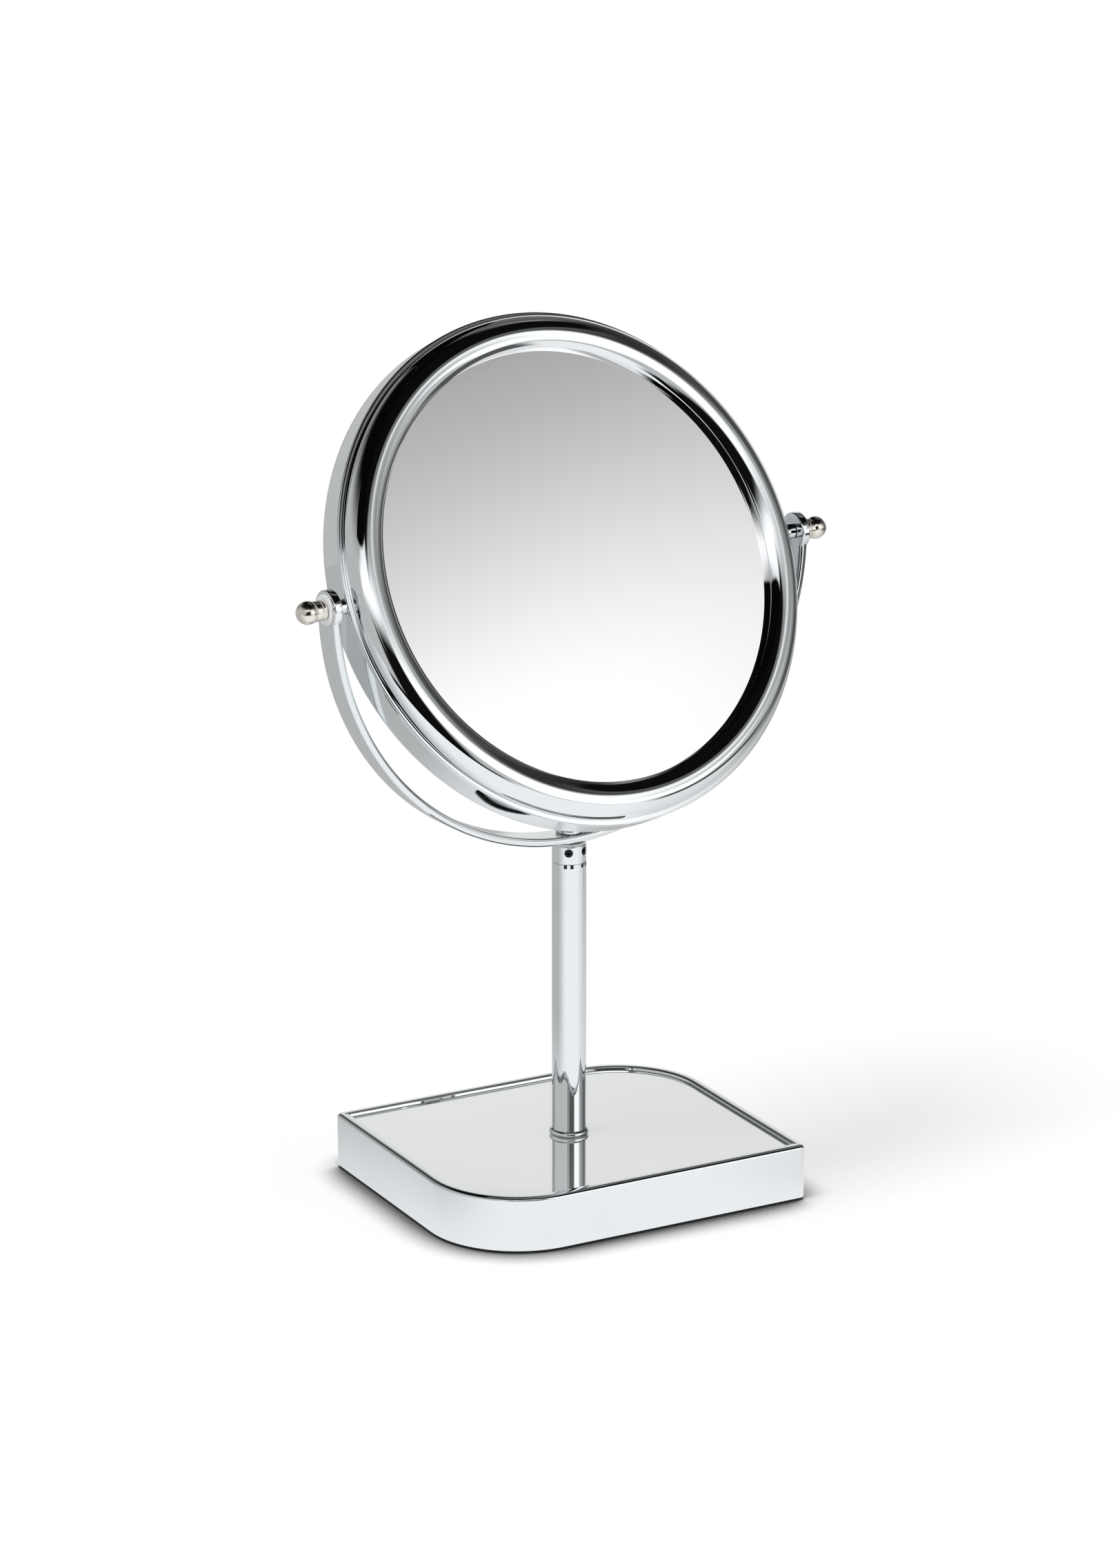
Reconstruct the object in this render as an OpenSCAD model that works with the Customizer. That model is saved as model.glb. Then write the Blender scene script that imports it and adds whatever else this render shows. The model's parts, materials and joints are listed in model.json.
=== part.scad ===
// Extendable shaving mirror on a weighted base.
// Millimetres, +Z up, front towards -Y. The origin is the middle of the underside.
// Three moving groups stand on the base: the mast slides up and down in the post,
// the yoke swings about the mast, and the mirror head tilts between the yoke's eyes.

/* [Base] */
// Width of the base, left to right
base_w = 138; // [120:1:170]
// Depth of the base, front to back
base_d = 114; // [100:1:140]
// Height of the chromed band
base_h = 20.4; // [18:0.1:28]
// Radius of the front left and rear right corners
corner_big_r = 36; // [15:1:48]
// Radius of the other two corners
corner_small_r = 2.4; // [1:0.1:12]
// Width of the band's top rim
rim_w = 4; // [3:0.1:5]
// Rounding of the band's outer top edge
rim_round = 1.2; // [0.4:0.1:2]
// Thickness of the flange under the ballast
flange_t = 1.6; // [1.2:0.1:2.4]
// Reach of the flange inwards from the band's wall
flange_w = 7; // [6.5:0.1:10]
// Diameter of the screws that hold the flange to the ballast
screw_d = 3; // [2:0.1:3.2]
// Length of those screws
screw_len = 8; // [5:0.5:12]
// Distance from the base's side to the screws at its front and rear
screw_from_side = 29; // [20:1:45]
// Distance from the base's rear to the screws at its sides
screw_from_rear = 32; // [20:1:45]
// Thickness of the non-slip pad
pad_t = 1; // [0.6:0.1:3]
// Distance from the band's outside to the pad's edge
pad_inset = 2.5; // [1:0.1:3]
// Hole in the pad around the base bolt
pad_hole_d = 24; // [20:0.5:32]
// Thickness of the mirror glass on the base
base_glass_t = 3; // [2:0.1:4]
// Depth of that glass below the rim
glass_recess = 1.2; // [0.5:0.1:2]
// Thickness of the foam sheet under that glass
base_foam_t = 1; // [0.5:0.1:2]

/* [Post] */
// Outer diameter of the post
post_d = 12.7; // [12.2:0.1:16]
// Wall of the post tube
post_wall = 1; // [0.8:0.1:1.1]
// Length of post tube above the glass
post_h = 105.8; // [104:0.1:150]
// Depth of the post's seat in the ballast
post_seat = 2; // [1:0.1:4]
// Length of the plug in the post's lower end
plug_len = 18; // [16:0.5:19]
// Diameter of the collar on the glass
collar_d = 14.8; // [14.4:0.1:22]
// Height of the collar
collar_h = 3; // [2:0.1:6]
// Rounding of the collar's top edge
collar_round = 0.8; // [0.3:0.1:0.9]
// Thread diameter of the base bolt
bolt_d = 6; // [5:0.5:6.5]
// Size across the base bolt's head
bolt_head_d = 11; // [10:0.5:12]
// Height of the base bolt's head
bolt_head_h = 4; // [3:0.5:4.5]
// Diameter of the washer on the base bolt
base_washer_d = 16; // [14:0.5:18]
// Thickness of that washer
base_washer_t = 1.6; // [1:0.1:2]
// Diameter of the pocket for washer and bolt head
bolt_pocket_d = 20; // [19:0.5:24]
// Depth of the bolt head's face inside the pocket
bolt_head_in = 0.5; // [0.3:0.1:1]
// Unthreaded length left at the plug's top
plug_spare = 3; // [1:0.5:5]

/* [Mast] */
// Outer diameter of the sliding tube
inner_d = 9.5; // [9:0.1:9.7]
// Gap between the sliding tube and the plug with the mast down
tube_gap = 3.3; // [0.5:0.1:30]
// Wall of the sliding tube
inner_wall = 1; // [0.8:0.1:1.2]
// Length of the friction sleeve at the sliding tube's lower end
sleeve_len = 18; // [12:1:40]
// Length of the guide bush in the post's mouth
bush_len = 12; // [8:0.5:13]
// Thickness of the guide bush's flange
bush_flange_t = 0.5; // [0.4:0.1:1.5]
// Height of the cap on the sliding tube
cap_h = 6.9; // [5.5:0.1:12]
// Length of the cap's stem inside the sliding tube
stem_len = 20; // [17:0.5:30]
// Diameter of the cap's locking screw
lock_d = 3.3; // [2:0.1:3.6]
// Distance from the cap's top to the locking screw's axis
lock_drop = 2.4; // [2.1:0.1:3]
// Depth of the locking screw's face inside the cap
lock_in = 0.25; // [0.2:0.05:0.6]
// Direction of the locking screw about the post, from the front
lock_angle = -30; // [-180:5:180]

/* [Yoke] */
// Clear space between the drum and the strap
head_gap = 4.2; // [3:0.1:12]
// Thickness of the strap
strap_t = 3.2; // [2.2:0.1:3.6]
// Width of the strap
strap_w = 11.5; // [9:0.1:12.5]
// Rounding of the strap's edges
strap_round = 0.4; // [0.2:0.1:0.9]
// Diameter of the eye at each end of the strap
eye_d = 14; // [12:0.1:18]
// Thread diameter of the yoke bolt
yoke_bolt_d = 5; // [4:0.1:5.2]
// Diameter of the yoke bolt's head
yoke_head_d = 10; // [8.5:0.1:11]
// Height of the yoke bolt's head
yoke_head_h = 1.9; // [1.5:0.1:2.4]
// Length of the yoke bolt inside the cap
yoke_bolt_in = 14; // [10:0.5:15]
// Thickness of the nylon washer under the strap
swivel_washer_t = 0.5; // [0.3:0.1:1.5]
// Thickness of the wave washer under the yoke bolt's head
wave_washer_t = 0.3; // [0.2:0.1:0.5]

/* [Head] */
// Radius of both mirrors that shows
view_r = 80.3; // [60:0.1:100]
// Width of the rim, from the mirror that shows to the drum's outside
rim_band = 14.9; // [14:0.1:20]
// Wall of the drum
drum_wall = 1.2; // [0.8:0.1:1.5]
// Front edge of the drum, ahead of the pivot axis
drum_front = 2.4; // [1.6:0.1:2.5]
// Rear edge of the drum, behind the pivot axis
drum_rear = 7.5; // [6.5:0.1:9]
// Step of the front bezel's edge in from the drum's outside
bezel_step = 1.7; // [1.2:0.1:2.2]
// Height of the front bezel's edge over the drum
bezel_edge_h = 1.8; // [1.4:0.1:2.4]
// Radius of the bead between the drum and the front bezel
bead_r = 0.55; // [0.3:0.05:0.7]
// Front face of the plain mirror, ahead of the pivot axis
front_face = 6.2; // [6:0.1:7.5]
// Edge of the magnifying mirror's face, behind the pivot axis
rear_face = 8.2; // [8:0.1:10]
// Height of each bezel's crown over its mirror
crown_h = 4.5; // [4:0.1:6]
// Distance from the drum's outside to the crown
crown_in = 9; // [8:0.1:10]
// Sheet thickness of the bezels
bezel_wall = 1.2; // [0.8:0.1:1.4]
// Thickness of both mirror glasses
glass_t = 3; // [2:0.1:3.2]
// Lap of both bezels over the edges of the mirrors
glass_lap = 3.4; // [2.4:0.1:3.8]
// Thickness of the foam behind the plain mirror
front_foam_t = 0.6; // [0.4:0.1:1]
// Width of the foam ring behind the magnifying mirror
rear_foam_w = 7.5; // [4:0.5:12]
// Radius of curvature of the magnifying mirror
magnify_r = 900; // [850:10:2000]
// Thickness of the carrier's disc between the mirrors
carrier_t = 2; // [1.5:0.1:2.2]

/* [Pivots] */
// Diameter of the pivot screws
pivot_d = 4; // [3:0.1:4.4]
// Outer diameter of the spacers beside the drum
spacer_d = 5.8; // [5.6:0.1:8]
// Thickness of the nylon washers under the knobs
knob_washer_t = 0.5; // [0.3:0.1:1.5]
// Diameter of those washers
knob_washer_d = 11; // [8:0.1:12]
// Diameter of the knobs' balls
ball_d = 8.5; // [8.1:0.1:11]
// Diameter of the knobs' necks
neck_d = 7.5; // [6:0.1:7.8]
// Length of a knob from its seat to its tip
knob_len = 10.6; // [9:0.1:15]
// Width of the square nuts inside the drum
nut_w = 6.6; // [6.2:0.1:7.6]
// Thickness of those nuts
nut_t = 3.2; // [2:0.1:3.8]

/* [Pose as made] */
// Tilt of the mirror, upwards from upright
head_tilt = 26.5; // [0:0.5:45]
// Swing of the yoke about the post
yoke_swing = 5; // [-45:0.5:45]

/* [Hidden] */
// Clearances: round a turning or sliding part, round a part that drops in, between faces of
// bodies that move apart, round a screw's shank, and where a face only just meets another
run_gap = 0.05;
drop_gap = 0.3;
face_gap = 0.3;
shank_gap = 0.2;
seat_gap = 0.02;
// What a screw's thread overlaps its hole by, on the diameter
thread = 0.1;
eps = 0.01;
$fn = 96;

// Radii and diameters
post_bore_d = post_d - 2 * post_wall;
post_hole_d = post_d + 2 * drop_gap;
inner_bore_d = inner_d - 2 * inner_wall;
drum_r = view_r + rim_band;
drum_in = drum_r - drum_wall;
yoke_in = drum_r + head_gap;
yoke_r = yoke_in + strap_t;
crown_r = drum_r - crown_in;
glass_r = view_r + glass_lap;
carrier_r = drum_in - drop_gap;

// Heights, from the underside upwards
rim_z = pad_t + base_h;
glass_z = rim_z - glass_recess;
foam_z = glass_z - base_glass_t - base_foam_t;
ballast_z = pad_t + flange_t;
seat_z = foam_z - post_seat;
pocket_z = ballast_z + bolt_head_in + bolt_head_h + base_washer_t;
plug_top = seat_z + plug_len;
post_top = glass_z + post_h;
bush_top = post_top + bush_flange_t;
bush_end = post_top - bush_len;
sleeve_z = plug_top + tube_gap;
cap_z = bush_top + face_gap;
cap_top = cap_z + cap_h;
strap_z = cap_top + swivel_washer_t + face_gap;
bolt_seat_z = strap_z + strap_t + face_gap;
pivot_z = strap_z + yoke_r;

// The screws' line inside the band's edge, and the countersinks in the flange
screw_line = rim_w + flange_w / 2;
sink_d = 2 * screw_d;
sink_h = flange_t * 0.9;

// The bezels' sections: a lip on the mirror, and the bend of the slope above it
lip_w = 1.6;
lip_h = 2.4;
slope_bend = 2.9;
groove = 0.3;
foam_in = 2;

// Along the pivot axis: where the nuts meet the drum's wall, and where the knobs seat
nut_x = sqrt(drum_in * drum_in - nut_w * nut_w / 4) - seat_gap;
nut_pocket = nut_w + 2 * run_gap;
knob_x = yoke_r + knob_washer_t + face_gap;
shank_spare = 1;

// Out of the mirror's plane: the carrier's disc, and the hollow of the magnifying mirror
carrier_s = front_face - glass_t - front_foam_t - carrier_t;
rear_sag = sag(glass_r);

chrome = [0.82, 0.84, 0.86];
mirror = [0.88, 0.90, 0.90];
nickel = [0.74, 0.70, 0.62];
steel = [0.60, 0.61, 0.62];
dark = [0.10, 0.10, 0.11];
nylon = [0.90, 0.90, 0.87];

// ---- Shared shapes ----

// Outline of the base, drawn in by a distance: two corners are widely rounded, two tightly
module base_outline(in = 0) {
    x = base_w / 2 - in;
    y = base_d / 2 - in;
    big = corner_big_r - in;
    small = max(corner_small_r - in, 0.5);
    polygon([
        [-x, big - y], [big - x, -y], [x - small, -y], [x, small - y],
        [x, y - big], [x - big, y], [small - x, y], [-x, y - small]
    ]);
    for (turn = [0, 180]) rotate(turn) {
        translate([big - x, big - y]) circle(big);
        translate([x - small, small - y]) circle(small);
    }
}

module ring(outer_d, bore_d, h) {
    difference() {
        cylinder(d = outer_d, h = h);
        translate([0, 0, -eps]) cylinder(d = bore_d, h = h + 2 * eps);
    }
}

// Places of the four flange screws, on the straight stretches of the band
module at_screws() {
    for (turn = [0, 180]) rotate(turn) {
        translate([base_w / 2 - screw_from_side, screw_line - base_d / 2]) children();
        translate([screw_line - base_w / 2, base_d / 2 - screw_from_rear]) children();
    }
}

// The yoke's frame: origin on the pivot axis, +X along it
module on_yoke() {
    translate([0, 0, pivot_z]) rotate([0, 0, yoke_swing]) children();
}

// The head's frame: +X along the pivot axis, +Z out of the plain mirror
module on_head() {
    on_yoke() rotate([90 - head_tilt, 0, 0]) children();
}

// A shape drawn along +Z, laid along the pivot axis on one side: -1 is left, 1 is right
module along_pivot(side) {
    rotate([0, side * 90, 0]) children();
}

function arc(cx, cy, rx, ry, from, to, n) =
    [for (i = [0 : n]) let (a = from + (to - from) * i / n) [cx + rx * cos(a), cy + ry * sin(a)]];

function bow(p, q, r, n) =
    [for (i = [0 : n]) let (t = i / n) p * (1 - t) * (1 - t) + q * 2 * t * (1 - t) + r * t * t];

// Depth of the magnifying mirror's hollow inside a radius
function sag(r) = magnify_r - sqrt(magnify_r * magnify_r - r * r);

// Section of a bezel: an outer shoulder, a crown and a slope down to the mirror's edge
function bezel_section(edge_r, edge_s, face_s) =
    let (crown_s = face_s + crown_h, in_r = edge_r - bezel_wall, in_s = crown_s - bezel_wall)
    concat(
        arc(crown_r, edge_s, edge_r - crown_r, crown_s - edge_s, 0, 90, 14),
        bow([crown_r, crown_s], [view_r + slope_bend, crown_s], [view_r, face_s + lip_h], 10),
        [[view_r, face_s], [view_r + lip_w, face_s]],
        bow([view_r + lip_w + 0.1, face_s + 0.3],
            [view_r + slope_bend, in_s], [crown_r, in_s], 8),
        arc(crown_r, edge_s, in_r - crown_r, in_s - edge_s, 90, 0, 12)
    );

// ---- Base ----

module base_pad() color(dark) {
    linear_extrude(pad_t) difference() {
        base_outline(pad_inset);
        circle(d = pad_hole_d);
    }
}

module base_band() color(chrome) {
    difference() {
        hull() {
            translate([0, 0, pad_t]) linear_extrude(base_h - rim_round) base_outline($fn = 64);
            for (a = [30, 60, 90])
                translate([0, 0, rim_z - rim_round]) linear_extrude(rim_round * sin(a))
                    base_outline(rim_round * (1 - cos(a)), $fn = 64);
        }
        translate([0, 0, ballast_z]) linear_extrude(base_h) base_outline(rim_w);
        translate([0, 0, -eps]) linear_extrude(base_h) base_outline(rim_w + flange_w);
        translate([0, 0, pad_t - eps]) at_screws() {
            cylinder(d = screw_d + shank_gap, h = flange_t + 2 * eps);
            cylinder(d1 = sink_d, d2 = screw_d, h = sink_h);
        }
    }
}

module flange_screws() color(steel) {
    translate([0, 0, pad_t]) at_screws() {
        cylinder(d1 = sink_d - thread, d2 = screw_d - thread, h = sink_h);
        cylinder(d = screw_d, h = screw_len);
    }
}

module ballast() color(steel) {
    difference() {
        translate([0, 0, ballast_z]) linear_extrude(foam_z - ballast_z)
            base_outline(rim_w + drop_gap);
        cylinder(d = bolt_d + 2 * shank_gap, h = foam_z + 1);
        cylinder(d = bolt_pocket_d, h = pocket_z);
        translate([0, 0, seat_z]) cylinder(d = post_d + 2 * run_gap, h = post_seat + 1);
        translate([0, 0, pad_t]) at_screws() cylinder(d = screw_d - thread, h = screw_len + drop_gap);
    }
}

module base_foam() color(dark) {
    translate([0, 0, foam_z]) linear_extrude(base_foam_t) difference() {
        base_outline(rim_w + 2 * drop_gap);
        circle(d = post_hole_d);
    }
}

module base_glass() color(mirror) {
    translate([0, 0, glass_z - base_glass_t]) linear_extrude(base_glass_t) difference() {
        base_outline(rim_w + drop_gap);
        circle(d = post_hole_d);
    }
}

module base_washer() color(steel) {
    translate([0, 0, pocket_z - base_washer_t])
        ring(base_washer_d, bolt_d + 2 * shank_gap, base_washer_t);
}

module base_bolt() color(steel) {
    head_z = pocket_z - base_washer_t - bolt_head_h;
    translate([0, 0, head_z]) cylinder(d = bolt_head_d, h = bolt_head_h, $fn = 6);
    translate([0, 0, head_z]) cylinder(d = bolt_d, h = plug_top - plug_spare - head_z);
}

// ---- Post ----

module post_plug() color(steel) {
    translate([0, 0, seat_z]) ring(post_bore_d, bolt_d - thread, plug_len);
}

module post_tube() color(chrome) {
    translate([0, 0, seat_z]) ring(post_d, post_bore_d, post_top - seat_z);
}

module post_collar() color(chrome) {
    r = collar_d / 2;
    bore = post_d / 2 + run_gap;
    translate([0, 0, glass_z]) rotate_extrude() polygon(concat(
        [[bore, 0], [r, 0]],
        arc(r - collar_round, collar_h - collar_round, collar_round, collar_round, 0, 90, 6),
        [[bore, collar_h]]
    ));
}

module guide_bush() color(dark) {
    translate([0, 0, bush_end]) ring(post_bore_d, inner_d + 2 * run_gap, bush_len);
    translate([0, 0, post_top]) ring(post_d - post_wall / 2, inner_d + 2 * run_gap, bush_flange_t);
}

// ---- Mast ----

// The mast pulls out until this sleeve meets the guide bush, which leaves 60 mm of travel
module friction_sleeve() color(nylon) {
    translate([0, 0, sleeve_z]) ring(post_bore_d - 2 * run_gap, inner_d, sleeve_len);
}

module sliding_tube() color(chrome) {
    translate([0, 0, sleeve_z]) ring(inner_d, inner_bore_d, cap_z - sleeve_z);
}

module mast_cap() color(chrome) {
    difference() {
        union() {
            translate([0, 0, cap_z]) cylinder(d = post_d, h = cap_h);
            translate([0, 0, cap_z - stem_len]) cylinder(d = inner_bore_d, h = stem_len + eps);
        }
        translate([0, 0, cap_top - yoke_bolt_in - drop_gap])
            cylinder(d = yoke_bolt_d - thread, h = yoke_bolt_in + 1);
        at_lock() cylinder(d = lock_d - thread, h = post_d);
    }
}

// The locking screw's axis, outwards from the middle of the cap
module at_lock() {
    translate([0, 0, cap_top - lock_drop]) rotate([0, 0, lock_angle]) rotate([90, 0, 0]) children();
}

module lock_screw() color(dark) {
    inner_end = yoke_bolt_d / 2;
    outer_end = post_d / 2 - lock_in;
    socket_d = lock_d * 0.55;
    at_lock() difference() {
        translate([0, 0, inner_end]) cylinder(d = lock_d, h = outer_end - inner_end);
        translate([0, 0, outer_end - socket_d * 0.6]) cylinder(d = socket_d, h = socket_d, $fn = 6);
    }
}

module swivel_washer() color(nylon) {
    translate([0, 0, cap_top]) ring(post_d - post_wall, yoke_bolt_d + 2 * run_gap, swivel_washer_t);
}

module wave_washer() color(steel) {
    translate([0, 0, bolt_seat_z]) ring(yoke_head_d - 0.4, yoke_bolt_d + 2 * run_gap, wave_washer_t);
}

module yoke_bolt() color(chrome) {
    head_z = bolt_seat_z + wave_washer_t;
    edge = yoke_head_h * 0.35;
    shank_z = cap_top - yoke_bolt_in;
    socket_d = yoke_bolt_d * 0.72;
    difference() {
        union() {
            translate([0, 0, head_z]) cylinder(d = yoke_head_d, h = edge);
            translate([0, 0, head_z]) rotate_extrude() polygon(concat(
                [[0, 0]], arc(0, edge, yoke_head_d / 2, yoke_head_h - edge, 0, 90, 12)));
            translate([0, 0, shank_z]) cylinder(d = yoke_bolt_d, h = head_z - shank_z + eps);
        }
        translate([0, 0, head_z + edge * 0.75]) cylinder(d = socket_d, h = yoke_head_h, $fn = 6);
    }
}

// ---- Yoke ----

module yoke() color(chrome) {
    difference() {
        on_yoke() {
            rotate([90, 0, 0]) rotate([0, 0, 180]) rotate_extrude(angle = 180, $fn = 180)
                translate([yoke_in, -strap_w / 2]) strap_section();
            for (side = [-1, 1]) along_pivot(side)
                translate([0, 0, yoke_in]) cylinder(d = eye_d, h = strap_t);
        }
        translate([0, 0, strap_z - 1]) cylinder(d = yoke_bolt_d + 2 * run_gap, h = strap_t + 3);
        on_yoke() for (side = [-1, 1]) along_pivot(side)
            translate([0, 0, yoke_in - 1]) cylinder(d = pivot_d + 2 * run_gap, h = strap_t + 2);
    }
}

module strap_section() {
    r = strap_round;
    translate([r, 0]) square([strap_t - 2 * r, strap_w]);
    translate([0, r]) square([strap_t, strap_w - 2 * r]);
    for (x = [r, strap_t - r], y = [r, strap_w - r]) translate([x, y]) circle(r, $fn = 24);
}

module knob_washer(side) color(nylon) {
    on_yoke() along_pivot(side)
        translate([0, 0, yoke_r]) ring(knob_washer_d, pivot_d + 2 * run_gap, knob_washer_t);
}

module left_washer() knob_washer(-1);
module right_washer() knob_washer(1);

// ---- Mirror head ----

module drum() color(chrome) {
    on_head() difference() {
        translate([0, 0, -drum_rear]) ring(2 * drum_r, 2 * drum_in, drum_rear + drum_front);
        for (side = [-1, 1]) along_pivot(side)
            translate([0, 0, drum_in - 2]) cylinder(d = pivot_d + 2 * shank_gap, h = drum_wall + 4);
    }
}

// The front bezel ends in a bead and a groove where it meets the drum, with room for the nuts
module front_bezel() color(chrome) {
    edge_r = drum_r - bezel_step;
    groove_s = drum_front + 2 * bead_r;
    on_head() difference() {
        rotate_extrude($fn = 180) polygon(concat(
            arc(drum_r - bead_r, drum_front + bead_r, bead_r, bead_r, -90, 90, 8),
            [[edge_r - groove, groove_s], [edge_r, groove_s + groove]],
            bezel_section(edge_r, drum_front + bezel_edge_h, front_face),
            [[edge_r - bezel_wall, drum_front]]
        ));
        for (side = [-1, 1]) along_pivot(side) translate([-nut_pocket / 2, -nut_pocket / 2, crown_r])
            cube([nut_pocket, nut_pocket, nut_x + run_gap - crown_r]);
    }
}

module rear_bezel() color(chrome) {
    on_head() mirror([0, 0, 1]) rotate_extrude($fn = 180) polygon(concat(
        [[drum_r, drum_rear]],
        bezel_section(drum_r, drum_rear + groove, rear_face),
        [[drum_in, drum_rear]]
    ));
}

module front_glass() color(mirror) {
    on_head() translate([0, 0, front_face - glass_t]) cylinder(r = glass_r, h = glass_t);
}

// The magnifying mirror is a shallow dish, hollow towards the rear
module rear_glass() color(mirror) {
    half = asin(glass_r / magnify_r);
    dish = arc(0, 0, 1, 1, 90 - half, 90, 16);
    on_head() translate([0, 0, rear_sag - rear_face - magnify_r]) rotate_extrude() polygon(concat(
        [for (p = dish) p * magnify_r],
        [for (i = [len(dish) - 1 : -1 : 0]) [dish[i][0] * magnify_r, dish[i][1] * magnify_r + glass_t]]
    ));
}

// A moulded disc and rim that both mirrors, the bezels and the nuts are fixed to
module carrier() color(dark) {
    front = drum_front - run_gap;
    rear = drum_rear - drop_gap;
    on_head() difference() {
        union() {
            translate([0, 0, -rear]) ring(2 * carrier_r, 2 * (glass_r + drop_gap), front + rear);
            translate([0, 0, carrier_s]) cylinder(r = glass_r + 1, h = carrier_t);
        }
        for (side = [-1, 1]) along_pivot(side) {
            translate([-nut_pocket / 2, -nut_pocket / 2, nut_x - nut_t - run_gap])
                cube([nut_pocket, nut_pocket, 2 * nut_t]);
            cylinder(d = pivot_d + 4 * shank_gap, h = 2 * drum_r);
        }
    }
}

module front_foam() color(dark) {
    on_head() translate([0, 0, carrier_s + carrier_t]) cylinder(r = glass_r - foam_in, h = front_foam_t);
}

// A foam ring that holds the dish's edge against the rear bezel
module rear_foam() color(dark) {
    outer_r = glass_r - foam_in;
    inner_r = outer_r - rear_foam_w;
    seat = glass_t + sag(glass_r) - sag(inner_r) - rear_face;
    on_head() translate([0, 0, seat]) ring(2 * outer_r, 2 * inner_r, carrier_s - seat);
}

module nut(side) color(steel) {
    on_head() along_pivot(side) difference() {
        translate([-nut_w / 2, -nut_w / 2, nut_x - nut_t]) cube([nut_w, nut_w, nut_t]);
        cylinder(d = pivot_d + 2 * run_gap, h = 2 * drum_r);
    }
}

module left_nut() nut(-1);
module right_nut() nut(1);

// The spacers' feet are relieved for the bead between the drum and the front bezel
module spacer(side) color(chrome) {
    on_head() difference() {
        along_pivot(side) translate([0, 0, drum_r])
            ring(spacer_d, pivot_d + 2 * run_gap, yoke_in - face_gap - drum_r);
        translate([0, 0, drum_front - run_gap]) cylinder(r = drum_r + run_gap, h = spacer_d);
    }
}

module left_spacer() spacer(-1);
module right_spacer() spacer(1);

// ---- Pivot knobs ----

module knob(side) color(nickel) {
    ball_x = knob_x + knob_len - ball_d / 2;
    shank_end = nut_x - nut_t - shank_spare;
    on_head() along_pivot(side) {
        translate([0, 0, shank_end]) cylinder(d = pivot_d, h = knob_x - shank_end + eps);
        translate([0, 0, knob_x]) cylinder(d = neck_d, h = ball_x - knob_x);
        translate([0, 0, ball_x]) sphere(d = ball_d);
    }
}

module left_knob() knob(-1);
module right_knob() knob(1);

// ---- Nodes ----

base_pad();
base_band();
flange_screws();
ballast();
base_foam();
base_glass();
base_bolt();
base_washer();
post_plug();
post_tube();
post_collar();
guide_bush();
friction_sleeve();
sliding_tube();
mast_cap();
lock_screw();
swivel_washer();
wave_washer();
yoke_bolt();
yoke();
left_washer();
right_washer();
drum();
front_bezel();
rear_bezel();
front_glass();
rear_glass();
carrier();
front_foam();
rear_foam();
left_nut();
right_nut();
left_spacer();
right_spacer();
left_knob();
right_knob();
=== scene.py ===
# %% [markdown]
# An extendable shaving mirror on a weighted base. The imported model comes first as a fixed
# frame: its nodes say where every part is, and which body each one moves with. The visible
# parts are then modelled again, because bright plating shows every flat facet of a solid.
# Lengths are in metres, +Z is up and the front faces -Y.

# %% the frame
import json
import math
import bmesh
import bpy
from mathutils import Matrix, Vector


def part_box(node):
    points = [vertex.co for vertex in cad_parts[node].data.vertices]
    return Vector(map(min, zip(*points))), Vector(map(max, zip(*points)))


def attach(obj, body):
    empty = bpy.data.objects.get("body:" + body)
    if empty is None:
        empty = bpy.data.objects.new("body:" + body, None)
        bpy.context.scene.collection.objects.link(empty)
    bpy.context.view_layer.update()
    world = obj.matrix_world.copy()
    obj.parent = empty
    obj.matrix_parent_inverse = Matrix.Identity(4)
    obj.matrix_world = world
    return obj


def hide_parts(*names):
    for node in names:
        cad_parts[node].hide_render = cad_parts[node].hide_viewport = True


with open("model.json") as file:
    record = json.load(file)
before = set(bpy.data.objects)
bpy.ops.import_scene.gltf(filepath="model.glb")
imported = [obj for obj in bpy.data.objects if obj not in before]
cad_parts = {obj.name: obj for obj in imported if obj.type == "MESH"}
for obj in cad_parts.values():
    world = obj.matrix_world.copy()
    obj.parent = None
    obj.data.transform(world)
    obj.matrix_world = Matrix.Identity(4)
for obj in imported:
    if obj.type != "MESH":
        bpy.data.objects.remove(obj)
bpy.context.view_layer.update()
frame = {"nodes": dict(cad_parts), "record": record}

MM = 0.001

# %% [markdown]
# The camera stands to the left of the front and a little above the mirror, far enough away
# that the perspective is gentle. It looks at a point on the post's axis near mid height.

# %% the camera
CAMERA_AZIMUTH = math.radians(-28.59)
CAMERA_HEIGHT_ANGLE = math.radians(17.10)
CAMERA_DISTANCE = 1.854
CAMERA_TARGET = Vector((-0.0038, 0, 0.1565))
FOCAL_PIXELS, FRAME_LONG_SIDE = 7371, 2274
SENSOR = 36


def towards(azimuth, elevation):
    """The direction at an azimuth, counted from the front to the right, and an elevation."""
    return Vector((
        math.sin(azimuth) * math.cos(elevation),
        -math.cos(azimuth) * math.cos(elevation),
        math.sin(elevation),
    ))


back = towards(CAMERA_AZIMUTH, CAMERA_HEIGHT_ANGLE)
bpy.ops.object.select_all(action="DESELECT")
bpy.ops.object.camera_add(location=CAMERA_TARGET + back * CAMERA_DISTANCE)
camera = bpy.context.object
camera.name = "camera"
camera.rotation_euler = (-back).to_track_quat("-Z", "Y").to_euler()
camera.data.sensor_width = SENSOR
camera.data.lens = FOCAL_PIXELS * SENSOR / FRAME_LONG_SIDE
bpy.context.scene.camera = camera
bpy.context.scene.view_settings.view_transform = "Standard"
print("lens:", round(camera.data.lens, 1), "mm")

# %% [markdown]
# Bright chrome has almost no colour of its own: what shows is the studio around it. The
# world is therefore built as a room for reflections alone: soft white panels, grey walls
# and a dark ceiling. Each area is a convex shape whose corners are an azimuth and an
# elevation in degrees, so its place can be read and changed, and later areas cover
# earlier ones. Every area has its own softness, as a panel has at its own distance.

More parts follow.
